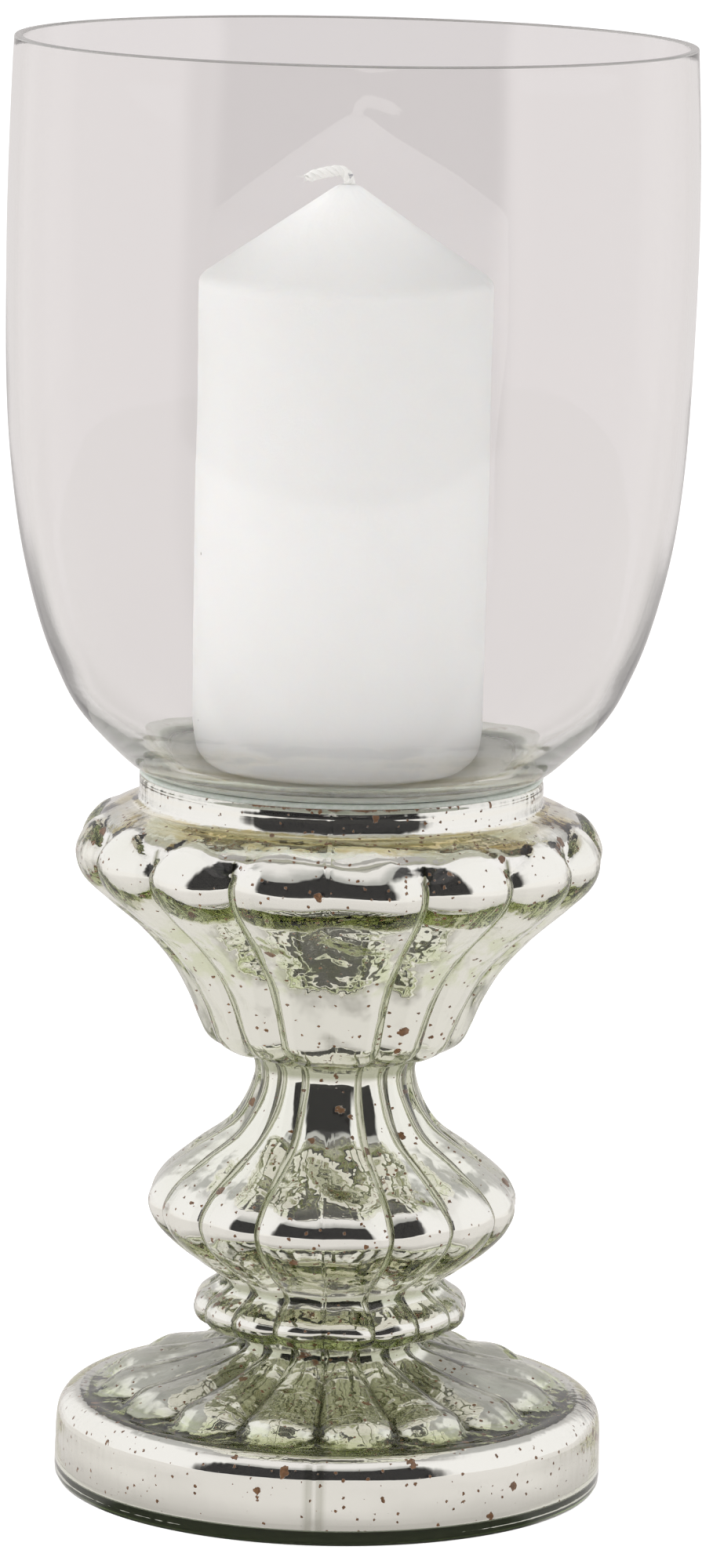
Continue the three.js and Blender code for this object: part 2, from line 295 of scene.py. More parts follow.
def ripple(angles, along, seed, turns, lengths, waves=9):
    """Gentle unevenness of size 1 round and along a surface, from a sum of seeded waves."""
    rng = np.random.default_rng(seed)
    total = np.zeros((len(along), len(angles)))
    for _ in range(waves):
        around = rng.integers(turns[0], turns[1] + 1)
        length = rng.uniform(*lengths)
        phase = rng.uniform(0, 2 * math.pi)
        total += np.sin(around * angles[None, :] + (2 * math.pi / length) * along[:, None] + phase)
    return total / math.sqrt(waves / 2)


def even_angles(columns):
    return np.linspace(0, 2 * math.pi, columns, endpoint=False)


# ------------------------ pedestal


def flute_angles():
    """Columns round the pedestal, crowded together towards the grooves."""
    within = 0.5 - 0.5 * np.cos(np.pi * np.arange(COLUMNS_PER_FLUTE) / COLUMNS_PER_FLUTE)
    return np.concatenate([(k + within) for k in range(FLUTES)]) * (2 * math.pi / FLUTES)


def lobe_width(radius, height):
    """How wide a lobe is: 1 along its length, less where its end rounds off."""
    petal = (radius - PETAL_STRAIGHT) / (PETAL_TIP - PETAL_STRAIGHT)
    gadroon = (height - GADROON_STRAIGHT) / (GADROON_TIP - GADROON_STRAIGHT)
    past = np.clip(np.where(height < COLLAR_TOP / 2, petal, gadroon), 0, 0.98)
    return np.sqrt(1 - past**2)


def groove_share(outline, angles, reach):
    """From 0 along the middle of a lobe to 1 in the groove, by row and column."""
    turns = angles / (2 * math.pi / FLUTES)
    from_groove = np.abs(turns - np.round(turns))
    across = (1 - 2 * from_groove)[None, :] / lobe_width(outline[:, 0], outline[:, 1])[:, None]
    share = 1 - np.sqrt(1 - (reach * np.clip(across, 0, 1)) ** 2)
    share /= 1 - math.sqrt(1 - reach**2)
    at_seam = (np.round(turns) % (FLUTES / 2) == 0)[None, :] & (outline[:, 1] > COLLAR_TOP / 4)[:, None]
    low, high = SEAM_DEEPENS
    between = (outline[:, 1] > low) & (outline[:, 1] < high)
    kept = np.where(between, 2 * SEAM_GROOVE, SEAM_GROOVE)
    kept = np.where(outline[:, 1] > SEAM_FADES, 0.3 * SEAM_GROOVE, kept)
    kept = np.convolve(np.pad(kept, 3, "edge"), np.ones(7) / 7, "valid")[:, None]
    return np.where(at_seam, kept * share, share)


def inner_groove_share(outline, angles):
    """The same on the inside, where the lobes are rounder and the upper ones start a little higher."""
    later = outline - np.where(outline[:, 1:2] > COLLAR_TOP / 2, [[0, 1.5, 0]], 0)
    share = groove_share(later, angles, INNER_GROOVE_REACH)
    rounder = groove_share(later, angles, 0.4)
    return 0.5 * share + 0.5 * rounder


def pedestal_outside():
    """The outline of the glass from the underside's centre up to the inside of the collar's rim."""
    rest = evenly([[0, PUNT_RISE, 0], [28, PUNT_RISE, 0], [FOOT_REST_INNER, 0, 0], PEDESTAL_OUTLINE[0]], 4)
    rim = rounding(COLLAR_RADIUS - RIM_ROUND, COLLAR_TOP - RIM_ROUND, RIM_ROUND, 15, 90)
    lip = rounding(COLLAR_BORE + RIM_ROUND, COLLAR_TOP - RIM_ROUND, RIM_ROUND, 100, 180)
    rim = np.vstack([rim, lip])
    rim = np.column_stack([rim, np.zeros(len(rim))])
    return np.vstack([rest[:-1], smooth(PEDESTAL_OUTLINE, ROW), rim])


def pedestal_rings():
    """The pedestal's outer surface: a turned outline whose grooves are pushed in along its normal."""
    outline = pedestal_outside()
    angles = flute_angles()
    normal = outward(outline)
    along = np.arange(len(outline)) * ROW
    sink = outline[:, 2:] * groove_share(outline, angles, GROOVE_REACH)
    sink += 0.08 * ripple(angles, along, 3, (2, 7), (25, 80))
    sink -= SEAM_RIDGE * seam_line(outline, angles, SEAM_HALF_WIDTH)
    sink *= ((outline[:, 1:2] > 0.5) & (outline[:, 1:2] < COLLAR_TOP - RIM_ROUND)).astype(float)
    radius = outline[:, :1] - normal[:, :1] * sink
    height = outline[:, 1:2] - normal[:, 1:] * sink
    return revolve(radius, height, angles)


def wall_thickness(outline):
    """The blown wall: thin where a bulge stretched it, thick in the narrow places and along the collar."""
    radius, height = outline[:, 0], outline[:, 1]
    thickness = np.full(len(outline), GLASS_WALL)
    for bulge, low, high, gain in BULGES:
        inside = (height >= low) & (height < high)
        gained = GLASS_WALL + gain * np.clip(bulge - radius, 0, None)
        thickness[inside] = np.minimum(gained, THICKEST_WALL)[inside]
    near_collar = np.clip((height - GADROON_TIP + 6) / 6, 0, 1)
    thickness += (GLASS_WALL - thickness) * near_collar
    kernel = np.hanning(9) / np.hanning(9).sum()
    return np.convolve(np.pad(thickness, 4, "edge"), kernel, "valid")[:, None]


def mirror_rings(lift):
    """The inside of the glass, from the hollow's floor up to the silver's edge, moved outward by lift."""
    outside = smooth(PEDESTAL_OUTLINE, INNER_ROW)
    above_foot = (outside[:, 0] < FOOT_MIRROR - SHOULDER_ROUND) | (outside[:, 1] > COLLAR_TOP / 2)
    above_foot &= (outside[:, 1] > FOOT_HEEL) & (outside[:, 1] < SILVER_TOP - 1)
    outside = np.vstack([outside[above_foot], [COLLAR_RADIUS, SILVER_TOP, 0]])
    angles = flute_angles()
    normal = outward(outside)
    along = np.arange(len(outside)) * INNER_ROW
    depth = outside[:, 2:] * (1 - 0.5 * np.clip((outside[:, 1:2] - FLANGE_FOOT) / 5, 0, 1))
    sink = wall_thickness(outside) - lift + depth * inner_groove_share(outside, angles)
    uneven = np.where(outside[:, 1:2] > COLLAR_FOOT, 0.03, 0.1)
    sink += uneven * ripple(angles, along, 5, (3, 16), (12, 40))
    sink -= SEAM_RIDGE * seam_line(outside, angles, 1.5 * SEAM_HALF_WIDTH)
    rings = revolve(outside[:, :1] - normal[:, :1] * sink, outside[:, 1:2] - normal[:, 1:] * sink, angles)
    return np.concatenate([foot_mirror(lift, angles), rings])


def foot_mirror(lift, angles):
    """The silvered wall of the foot and its shoulder, with the seam's raised line."""
    wall = [[FOOT_MIRROR + lift, height] for height in np.linspace(FOOT_HEEL + 2, SHOULDER_START, 7)]
    centre = FOOT_MIRROR - SHOULDER_ROUND
    shoulder = rounding(centre, SHOULDER_START, SHOULDER_ROUND + lift, 8, 86, 11)
    outline = np.vstack([wall, shoulder])
    along = np.arange(len(outline)) * INNER_ROW
    bumps = 0.03 * ripple(angles, along, 5, (3, 16), (12, 40))
    bumps += SEAM_RIDGE * seam_line(outline, angles, 1.5 * SEAM_HALF_WIDTH)
    return revolve(outline[:, :1] + bumps, outline[:, 1], angles)


def seam_line(outline, angles, half_width):
    """From 0 to 1 on the lines that the joint of the mould leaves, front and back."""
    arc = np.abs(np.sin(angles)) * outline[:, :1]
    return np.exp(-((arc / half_width) ** 2)) * (outline[:, :1] > 2)


def flat_rings(rows, angles):
    rows = np.array(rows, float)
    return revolve(rows[:, 0], rows[:, 1], angles)


def hollow_floor(lift, angles):
    """The floor of the hollow with the round corner where the wall rises from it."""
    corner = rounding(FOOT_FLAT - lift, FOOT_HEEL + CORNER, CORNER + lift, -90, -10)
    low = FOOT_HEEL - lift
    return flat_rings([[0, low], [30, low], [60, low], *corner], angles)


def make_pedestal():
    angles = flute_angles()
    inside = np.concatenate([hollow_floor(0.0, angles), mirror_rings(0.0)])
    return skin("pedestal_glass", np.concatenate([pedestal_rings(), inside[::-1]]))


def make_silvering():
    angles = flute_angles()
    faces = []
    for lift in (SILVER_BEDDED, -SILVER_THICK):
        faces.append(np.concatenate([hollow_floor(lift, angles), mirror_rings(lift)]))
    rings = np.concatenate([faces[0], faces[1][::-1]])
    return skin("silver_lining", rings, crease_shade=painted_crease_shade(rings, angles))


def painted_crease_shade(rings, angles):
    """Painted shade from 0 to 1: in the grooves, where the silver also ran thin, along the edges of the
    petals, to round them, and beside the foot's seam lines, to show the raised line.
    """
    turns = angles / (2 * math.pi / FLUTES)
    from_groove = np.abs(turns - np.round(turns)) * (2 * math.pi / FLUTES)
    radius = np.hypot(rings[:, :, 0], rings[:, :, 1])
    height = rings[:, :, 2]
    above_wall = height > PLAIN_FOOT - 4
    fluted = (radius < PETAL_TIP - 2) & above_wall | (height > COLLAR_TOP / 4)
    fluted &= height < GADROON_TIP - 4
    seam = (np.round(turns) % (FLUTES / 2) == 0) & (height > COLLAR_TOP / 4)
    # Painted shade along each groove, where the silver also ran thin.
    crease_shade = np.exp(-((from_groove * radius / CREASE_HALF_WIDTH) ** 2)) * fluted * np.where(seam, 0.0, 1.0)
    on_petals = (radius < PETAL_TIP - 3.5) & (radius > 28) & above_wall & (height < 36)
    # Painted shade along the edges of the petals, which makes them look rounder.
    painted_petal_edge_shade = 0.75 * np.exp(-((from_groove * radius / 3.0) ** 2)) * on_petals
    arc = np.abs(np.sin(angles)) * radius
    on_foot_wall = (height < SHOULDER_START + 4) & (radius > PETAL_TIP)
    # Painted shade beside the seam lines on the foot's wall, so that the raised line shows.
    painted_seam_shade = 0.6 * np.exp(-(((arc - 1.2) / 0.9) ** 2)) * on_foot_wall
    return np.maximum(np.maximum(crease_shade, painted_petal_edge_shade), painted_seam_shade)


# ------------------------ shade and bond


def make_shade():
    angles = even_angles(160)
    outside = smooth(SHADE_OUTLINE, 2.2)
    normal = outward(outside)
    inside = outside[:, :2] - normal * outside[:, 2:]
    inside = inside[(inside[:, 1] > SHADE_FLOOR + 0.6) & (inside[:, 1] < OVERALL_HEIGHT - SHADE_WALL)]
    lip_round = SHADE_WALL / 4
    rim = np.vstack([
        rounding(SHADE_RIM_RADIUS - lip_round, OVERALL_HEIGHT - lip_round, lip_round, 0, 90),
        rounding(SHADE_RIM_RADIUS - SHADE_WALL + lip_round, OVERALL_HEIGHT - lip_round, lip_round, 90, 180),
    ])
    turn = SHADE_PLUG_ROUND
    corner = rounding(SHADE_PLUG_RADIUS - turn, SHADE_BASE + turn, turn, -90, 0)
    flat = [[0, SHADE_BASE], [SHADE_PLUG_RADIUS / 2, SHADE_BASE]]
    plug = np.vstack([flat, corner, [[SHADE_PLUG_RADIUS, COLLAR_TOP + 0.8]]])
    floor = np.array([[46, SHADE_FLOOR + 0.1], [40, SHADE_FLOOR], [20, SHADE_FLOOR], [0, SHADE_FLOOR]])
    outline = np.vstack([plug, outside[:, :2], rim, inside[::-1], floor])
    height = outline[:, 1:]
    # The wave is the same inside and outside, because light gets lost in a wall of uneven thickness.
    wave = 0.16 * ripple(angles, outline[:, 1], 11, (2, 4), (90, 260))
    fine = 0.04 * ripple(angles, outline[:, 1], 13, (3, 9), (40, 90))
    swell = np.clip((height - SHADE_EVEN_TOP) / 40, 0, 1) * np.clip((OVERALL_HEIGHT - height) / 6, 0.2, 1)
    radius = outline[:, :1] + (wave + fine) * swell
    shade = skin("shade_glass", revolve(radius, height, angles))
    paint_below(shade, RIM, OVERALL_HEIGHT + 1)
    paint_below(shade, CLEAR, OVERALL_HEIGHT - 0.6)
    paint_below(shade, THICK, BASE_GLASS_TOP, facing_down=True)
    paint_below(shade, GROUND, COLLAR_TOP - 1)
    return shade


def make_bond():
    """The cured adhesive between plug and collar, with an uneven bead on top of the collar's rim."""
    angles = even_angles(180)
    section = np.array([
        [SHADE_PLUG_RADIUS + 0.1, BOND_FOOT],
        [COLLAR_BORE - 0.3, BOND_FOOT],
        [COLLAR_BORE - 0.1, COLLAR_TOP - 0.2],
        [COLLAR_BORE + 0.4, COLLAR_TOP + 0.05],
        [COLLAR_RADIUS - 0.6, COLLAR_TOP + 0.05],
        [COLLAR_RADIUS - 0.1, COLLAR_TOP + 0.3],
        [COLLAR_RADIUS - 0.2, COLLAR_TOP + 0.9],
        [COLLAR_RADIUS - 0.9, COLLAR_TOP + 1.3],
        [SHADE_PLUG_RADIUS + 2, COLLAR_TOP + 1],
        [SHADE_PLUG_RADIUS + 0.1, COLLAR_TOP + 0.6],
    ])
    bulge = 0.09 * ripple(angles, section[:, 1], 17, (3, 23), (60, 90)) * (section[:, :1] > 51)
    return skin("bond_bead", revolve(section[:, :1] + bulge, section[:, 1:], angles), loop=True)


# ------------------------ candle


def make_candle():
    angles = even_angles(180)
    shoulder = CANDLE_TOP - CANDLE_CONE
    side = evenly([
        [WICK_BORE, CANDLE_BASE],
        [CANDLE_RADIUS - CANDLE_EDGE, CANDLE_BASE],
        [CANDLE_RADIUS, CANDLE_BASE + CANDLE_EDGE],
        [CANDLE_RADIUS, shoulder - 0.8],
        [CANDLE_RADIUS - 0.5, shoulder + 0.1],
        [CANDLE_RADIUS - 1.5, shoulder + 1.1],
        [CANDLE_TIP_RADIUS, CANDLE_TOP - 0.6],
        [WICK_BORE, CANDLE_TOP],
    ], 1)
    bore = evenly([[WICK_BORE, CANDLE_TOP], [WICK_BORE, CANDLE_BASE]], 20)[1:-1]
    outline = np.vstack([side, bore])
    along = np.arange(len(outline), dtype=float)
    near_edge = np.exp(-(((outline[:, 1:] - shoulder) / 1.3) ** 2)) * (outline[:, :1] > CANDLE_RADIUS - 4)
    chips = np.clip(0.6 * ripple(angles, along, 23, (9, 60), (4, 30), waves=16) - 0.35, 0, 0.9)
    skin_wave = 0.06 * ripple(angles, along, 29, (2, 6), (40, 120))
    skin_wave = skin_wave + 0.03 * ripple(angles, along, 31, (12, 30), (8, 30))
    on_skin = (outline[:, :1] > CANDLE_TIP_RADIUS + 1).astype(float)
    radius = outline[:, :1] + skin_wave * on_skin - chips * near_edge
    rings = revolve(radius, outline[:, 1:], angles) + [CANDLE_ASIDE, 0, 0]
    return skin("pillar_candle", rings, loop=True)


def frames_along(line):
    """Unit tangents of a line with two unit vectors square to each, which don't twist."""
    tangent = np.gradient(line, axis=0)
    tangent /= np.linalg.norm(tangent, axis=1)[:, None]
    side = np.zeros_like(line)
    side[0] = np.cross(tangent[0], [0, 1, 0])
    for i in range(1, len(line)):
        side[i] = side[i - 1] - tangent[i] * np.dot(side[i - 1], tangent[i])
    side /= np.linalg.norm(side, axis=1)[:, None]
    return tangent, side, np.cross(tangent, side)


def sweep(line, radius, sides):
    """Rings of points round a line, tapering to its ends' own radii."""
    _, side, up = frames_along(line)
    around = even_angles(sides)
    radius = np.broadcast_to(radius, len(line))[:, None, None]
    return (
        line[:, None]
        + radius * np.cos(around)[None, :, None] * side[:, None]
        + radius * np.sin(around)[None, :, None] * up[:, None]
    )


def tube_faces(rings, first):
    """Quads of a tube with its ends closed, numbered from the vertex `first`."""
    rows, columns = rings.shape[:2]
    index = first + np.arange(rows * columns).reshape(rows, columns)
    low, high = index[:-1], index[1:]
    quads = np.stack([low, np.roll(low, -1, 1), np.roll(high, -1, 1), high], axis=-1)
    return quads.reshape(-1, 4).tolist() + [index[0][::-1].tolist(), index[-1].tolist()]


def make_wick():
    """Three waxed cotton strands laid round each other, with the loose ends of a few fibres."""
    line = smooth(WICK_LINE, WICK_STEP) + [CANDLE_ASIDE, 0, 0]
    tangent, side, up = frames_along(line)
    along = np.arange(len(line)) * WICK_STEP
    tubes = []
    for strand in range(3):
        turn = 2 * math.pi * (along / WICK_LAY + strand / 3)
        offset = np.cos(turn)[:, None] * side + np.sin(turn)[:, None] * up
        taper = np.clip((along[-1] - along) / 1.5, 0.35, 1)
        tubes.append(sweep(line + offset * WICK_STRAND_RADIUS * 0.86, WICK_STRAND_RADIUS * taper, 10))
    rng = np.random.default_rng(41)
    for _ in range(LOOSE_FIBRES):
        start = line[-1] - tangent[-1] * rng.uniform(0.3, 1.6)
        direction = tangent[-1] + rng.normal(0, 0.42, 3)
        bend = rng.normal(0, 0.5, 3)
        t = np.linspace(0, 1, 9)[:, None]
        fibre = start + direction * t * rng.uniform(1.2, 2.2) + bend * t**2
        tubes.append(sweep(fibre, np.linspace(0.13, 0.04, 9), 6))
    vertices = np.concatenate([rings.reshape(-1, 3) for rings in tubes])
    faces = []
    first = 0
    for rings in tubes:
        faces += tube_faces(rings, first)
        first += rings.shape[0] * rings.shape[1]
    mesh = bpy.data.meshes.new("wick_braid")
    mesh.from_pydata((vertices * MM).tolist(), [], faces)
    return finish_mesh("wick_braid", mesh)


# ------------------------ material nodes


class Graph:
    """A node tree with short ways to add nodes and join them."""

    def __init__(self, tree):
        self.tree = tree
        self.tree.nodes.clear()

    def add(self, kind, settings=None, **inputs):
        """Adds a node. Inputs are sockets or values, by name, with _ for a space."""
        made = self.tree.nodes.new(kind)
        for key, value in (settings or {}).items():
            setattr(made, key, value)
        self.feed_all(made, inputs)
        return made

    def feed(self, socket, value):
        if isinstance(value, bpy.types.NodeSocket):
            self.tree.links.new(value, socket)
        else:
            socket.default_value = value

    def feed_all(self, node, inputs):
        for key, value in inputs.items():
            self.feed(node.inputs[key.replace("_", " ")], value)

    def look(self, **inputs):
        """Feeds the material's own shader, with its inputs named as in add."""
        self.feed_all(self.shader, inputs)

    def calculate(self, kind, operation, values):
        made = self.add(kind, {"operation": operation})
        for socket, value in zip(made.inputs, values):
            self.feed(socket, value)
        return made.outputs

    def math(self, operation, *values):
        return self.calculate("ShaderNodeMath", operation, values)[0]

    def vector(self, operation, *values):
        """A vector operation's outputs: a "Vector", or for some a "Value"."""
        return self.calculate("ShaderNodeVectorMath", operation, values)

    def times(self, product, *others):
        for value in others:
            product = self.math("MULTIPLY", product, value)
        return product

    def most(self, largest, *others):
        for value in others:
            largest = self.math("MAXIMUM", largest, value)
        return largest

    def step(self, value, low, high, to_low=0.0, to_high=1.0):
        """Rises smoothly from to_low to to_high as value goes from low to high."""
        spans = {"From_Min": low, "From_Max": high, "To_Min": to_low, "To_Max": to_high}
        made = self.add("ShaderNodeMapRange", {"interpolation_type": "SMOOTHSTEP"}, Value=value, **spans)
        return made.outputs["Result"]

    def window(self, value, low, high, soft):
        """1 where value lies between low and high, falling off over `soft`."""
        return self.times(self.step(value, low - soft, low), self.step(value, high + soft, high))

    def mix(self, factor, a, b):
        made = self.add("ShaderNodeMix", {"data_type": "RGBA"})
        for socket, value in zip((made.inputs[0], made.inputs[6], made.inputs[7]), (factor, a, b)):
            self.feed(socket, value)
        return made.outputs[2]

    def position(self):
        """The point on the object in millimetres."""
        coordinate = self.add("ShaderNodeTexCoord").outputs["Object"]
        return self.vector("MULTIPLY", coordinate, (1 / MM,) * 3)["Vector"]

    def split(self, vector):
        return self.add("ShaderNodeSeparateXYZ", None, Vector=vector).outputs

    def stretched(self, vector, *scale):
        return self.add("ShaderNodeMapping", None, Vector=vector, Scale=scale).outputs[0]

    def noise(self, vector, size, detail=2.0, roughness=0.5):
        """Noise from 0 to 1 whose lumps are about `size` millimetres across."""
        inputs = {"Vector": vector, "Scale": 1 / size, "Detail": detail, "Roughness": roughness}
        return self.add("ShaderNodeTexNoise", **inputs).outputs["Fac"]

    def bump(self, height, distance):
        """A normal from a height of 0 to 1 that stands for `distance` millimetres."""
        made = self.add("ShaderNodeBump", None, Height=height, Distance=distance * MM, Strength=1.0)
        return made.outputs["Normal"]

    def ray(self, fact):
        """A fact about the ray that meets the surface, such as how often it was reflected."""
        return self.add("ShaderNodeLightPath").outputs[fact]


def colour(red, green, blue):
    return (red, green, blue, 1.0)


def grey(level):
    return colour(level, level, level)


def from_front(graph, east, north):
    """The angle round the axis in degrees, from the front towards +X."""
    return graph.math("DEGREES", graph.math("ARCTAN2", east, graph.times(north, -1.0)))


def round_axis(graph, place):
    """How far round from the front a point is, in degrees either way, and how far from the axis."""
    east, north, _ = graph.split(place)
    flat = graph.vector("MULTIPLY", place, (1, 1, 0))["Vector"]
    return graph.math("ABSOLUTE", from_front(graph, east, north)), graph.vector("LENGTH", flat)["Value"]


def new_material(name):
    material = bpy.data.materials.new(name)
    material.use_nodes = True
    graph = Graph(material.node_tree)
    graph.output = graph.add("ShaderNodeOutputMaterial")
    graph.shader = graph.add("ShaderNodeBsdfPrincipled")
    graph.feed(graph.output.inputs["Surface"], graph.shader.outputs[0])
    return material, graph


def make_clear(graph, base):
    """Turns the shader into clear glass, with the values on its own sockets."""
    graph.look(Base_Color=base, Roughness=0.0, IOR=1.5, Transmission_Weight=1.0)


# ------------------------ glass, silver, wax and cotton


def shade_glass_material():
    """Clear blown glass: faint vertical draw lines and a slow unevenness."""
    material, graph = new_material("clear_blown_glass")
    make_clear(graph, colour(0.98, 0.973, 0.97))
    place = graph.position()
    slow = graph.noise(place, 38, 1)
    drawn = graph.noise(graph.stretched(place, 1, 1, 0.06), 7, 2)
    height = graph.math("ADD", slow, graph.times(drawn, 0.16))
    graph.look(Normal=graph.bump(height, 0.04))
    return material


def polished_rim_material():
    """The fire-polished rim of the shade, painted as a thin grey line with paler stretches, which stand for
    the reflections in it.
    """
    material, graph = new_material("fire_polished_rim")
    place = graph.position()
    tone = graph.mix(graph.noise(place, 14, 2), colour(0.36, 0.35, 0.34), colour(0.52, 0.5, 0.48))
    normal = graph.bump(graph.noise(place, 3.5, 2), 0.08)
    graph.look(Base_Color=tone, Transmission_Weight=0.25, Roughness=0.2, Normal=normal)
    return material


def base_glass_material():
    """The thick glass at the bottom of the shade: pale green, with rusty streaks round it. Its dull, pale
    part is painted light, for the candle's light seen in the thick glass.
    """
    material, graph = new_material("thick_base_glass")
    place = graph.position()
    streaks = graph.noise(graph.stretched(place, 0.06, 0.06, 1), 0.9, 3, 0.6)
    # The pale tone is painted light for the glow seen in the thick glass.
    tone = graph.mix(graph.step(streaks, 0.35, 0.65), colour(0.82, 0.84, 0.75), colour(0.95, 0.97, 0.92))
    rust = graph.times(graph.step(streaks, 0.52, 0.62), graph.step(graph.noise(place, 9, 2), 0.5, 0.62))
    tone = graph.mix(graph.times(rust, 0.6), tone, colour(0.5, 0.42, 0.3))
    graph.look(Base_Color=tone, Transmission_Weight=0.6, Roughness=0.12, Normal=graph.bump(streaks, 0.08))
    return material


def ground_base_material():
    """The ground underside of the shade's base, in its adhesive."""
    material, graph = new_material("ground_glass_base")
    grain = graph.noise(graph.position(), 6, 4, 0.6)
    tone = graph.mix(grain, colour(0.84, 0.86, 0.78), colour(0.95, 0.96, 0.91))
    graph.look(Base_Color=tone, Roughness=0.5, Normal=graph.bump(grain, 0.1))
    return material


def pressed_glass_material():
    """Faintly green mould-blown glass, with the chilled ripple that the mould leaves."""
    material, graph = new_material("green_mould_glass")
    make_clear(graph, grey(1))
    chill = graph.noise(graph.position(), 5.5, 2, 0.55)
    graph.look(Normal=graph.bump(chill, 0.05))
    volume = graph.add("ShaderNodeVolumeAbsorption", None, Color=colour(0.6, 0.76, 0.3), Density=17.0)
    graph.feed(graph.output.inputs["Volume"], volume.outputs[0])
    return material


def flecks(graph, place, spacing, largest, share, cluster):
    """Ragged spots with a radius up to `largest`, in a share of cells that are `spacing` apart."""
    wobble = graph.add("ShaderNodeTexNoise", None, Vector=place, Scale=1 / largest, Detail=2.0)
    moved = graph.vector("MULTIPLY_ADD", wobble.outputs["Color"], (1.4 * largest,) * 3, place)["Vector"]
    cells = graph.add("ShaderNodeTexVoronoi", None, Vector=moved, Scale=1 / spacing)
    draw = graph.add("ShaderNodeSeparateColor", None, Color=cells.outputs["Color"]).outputs[0]
    lot = graph.math("ADD", draw, graph.times(cluster, 0.6))
    size = graph.step(lot, 1.3 - share, 1.35, 0.0, largest)
    inside = graph.math("SUBTRACT", size, graph.times(cells.outputs["Distance"], spacing))
    return graph.step(inside, 0.0, 0.12)


def patch(graph, place, centre, reach, ragged):
    """A ragged stain round a point."""
    inside = graph.step(graph.vector("DISTANCE", place, centre)["Value"], reach, 0.0)
    return graph.step(graph.math("ADD", graph.times(inside, 0.6), ragged), 0.95, 1.03)


# Where the silvering has browned in the front: centre in millimetres and reach.
STAINS = [
    ((3.6, -20, 107), 4.2),
    ((2.4, -20, 103), 3.4),
    ((5.4, -20, 101), 3.0),
    ((-4.5, -24, 95), 3.0),
    ((1.0, -19, 112), 3.0),
    ((-6.0, -22, 37), 6.5),
    ((-3.0, -22, 35), 4.0),
    ((7.0, -22, 36), 5.0),
    ((-2.0, -40, 68), 3.5),
]

# Heights on the silvering in millimetres: from, to, and the distance over which the effect ends.
PAINTED_SHADE_NARROWS = [(111.8, 117, 2), (52.8, 55, 2.4), (35.6, 38.4, 2)]  # painted shade, below the bowl, bulb and ring
SMOOTH_PLACES = [(161, 182, 6), (68, 78, 6), (-5, 20.5, 2)]  # with fewer streaks
BELOW_GADROONS = (141, 153, 4)  # with painted shade in vertical streaks, for the dark foot that they reflect

FLANGE_START = 177.2  # heights of the ledge between the gadroons and the collar, yellowed and with painted shade
FLANGE_END = 181.0
MOAT_START = 50  # radii of the moat at the tips of the petals, yellowed and with painted shade
MOAT_END = 64.2
LOWEST_PETAL = 22  # heights and greatest radius of the petals' painted shade
HIGHEST_PETAL = 34
WIDEST_PETAL = 63


def silver_material():
    """Old-style silvering seen through the glass: bright, with brown flecks, stains and a ragged top."""
    material, graph = new_material("antique_silvering")
    place = graph.position()
    height = graph.split(place)[2]
    marks = silver_marks(graph, place, height)
    brown = graph.mix(graph.noise(place, 1.1, 3), colour(0.1, 0.045, 0.022), colour(0.36, 0.17, 0.075))
    lacquer = graph.step(height, FOOT_HEEL + 0.5, FOOT_HEEL + 0.3)
    tone = graph.mix(marks, silver_tone(graph, place, height), brown)
    tone = graph.mix(lacquer, tone, colour(0.28, 0.3, 0.22))
    dull = graph.most(marks, lacquer)
    film = graph.step(graph.noise(place, 9, 3), 0.35, 0.8, 0.005, 0.025)
    smoother = graph.most(*(graph.window(height, *place_span) for place_span in SMOOTH_PLACES))
    streaks = graph.noise(graph.stretched(place, 1, 1, 0.22), 3, 1, 0.4)
    streaks = graph.times(streaks, graph.step(smoother, 0, 1, 1.0, 0.35))
    graph.look(
        Base_Color=tone,
        Metallic=graph.math("SUBTRACT", 1.0, dull),
        Roughness=graph.most(film, graph.times(dull, 0.6)),
        Normal=graph.bump(streaks, 0.13),
    )
    return material


def silver_marks(graph, place, height):
    """1 in the flecks, in the stains and along the ragged top, where the silver is gone."""
    cluster = graph.noise(place, 34, 1)
    large = flecks(graph, place, 6.5, 1.5, 0.52, cluster)
    small = flecks(graph, place, 2.0, 0.55, 0.8, cluster)
    ragged = graph.noise(place, 2.6, 4, 0.65)
    stains = [patch(graph, place, centre, reach, ragged) for centre, reach in STAINS]
    edge = graph.math("ADD", graph.step(height, SILVER_TOP - 1.5, SILVER_TOP + 0.2), ragged)
    return graph.most(large, small, *stains, graph.step(edge, 1.25, 1.35))


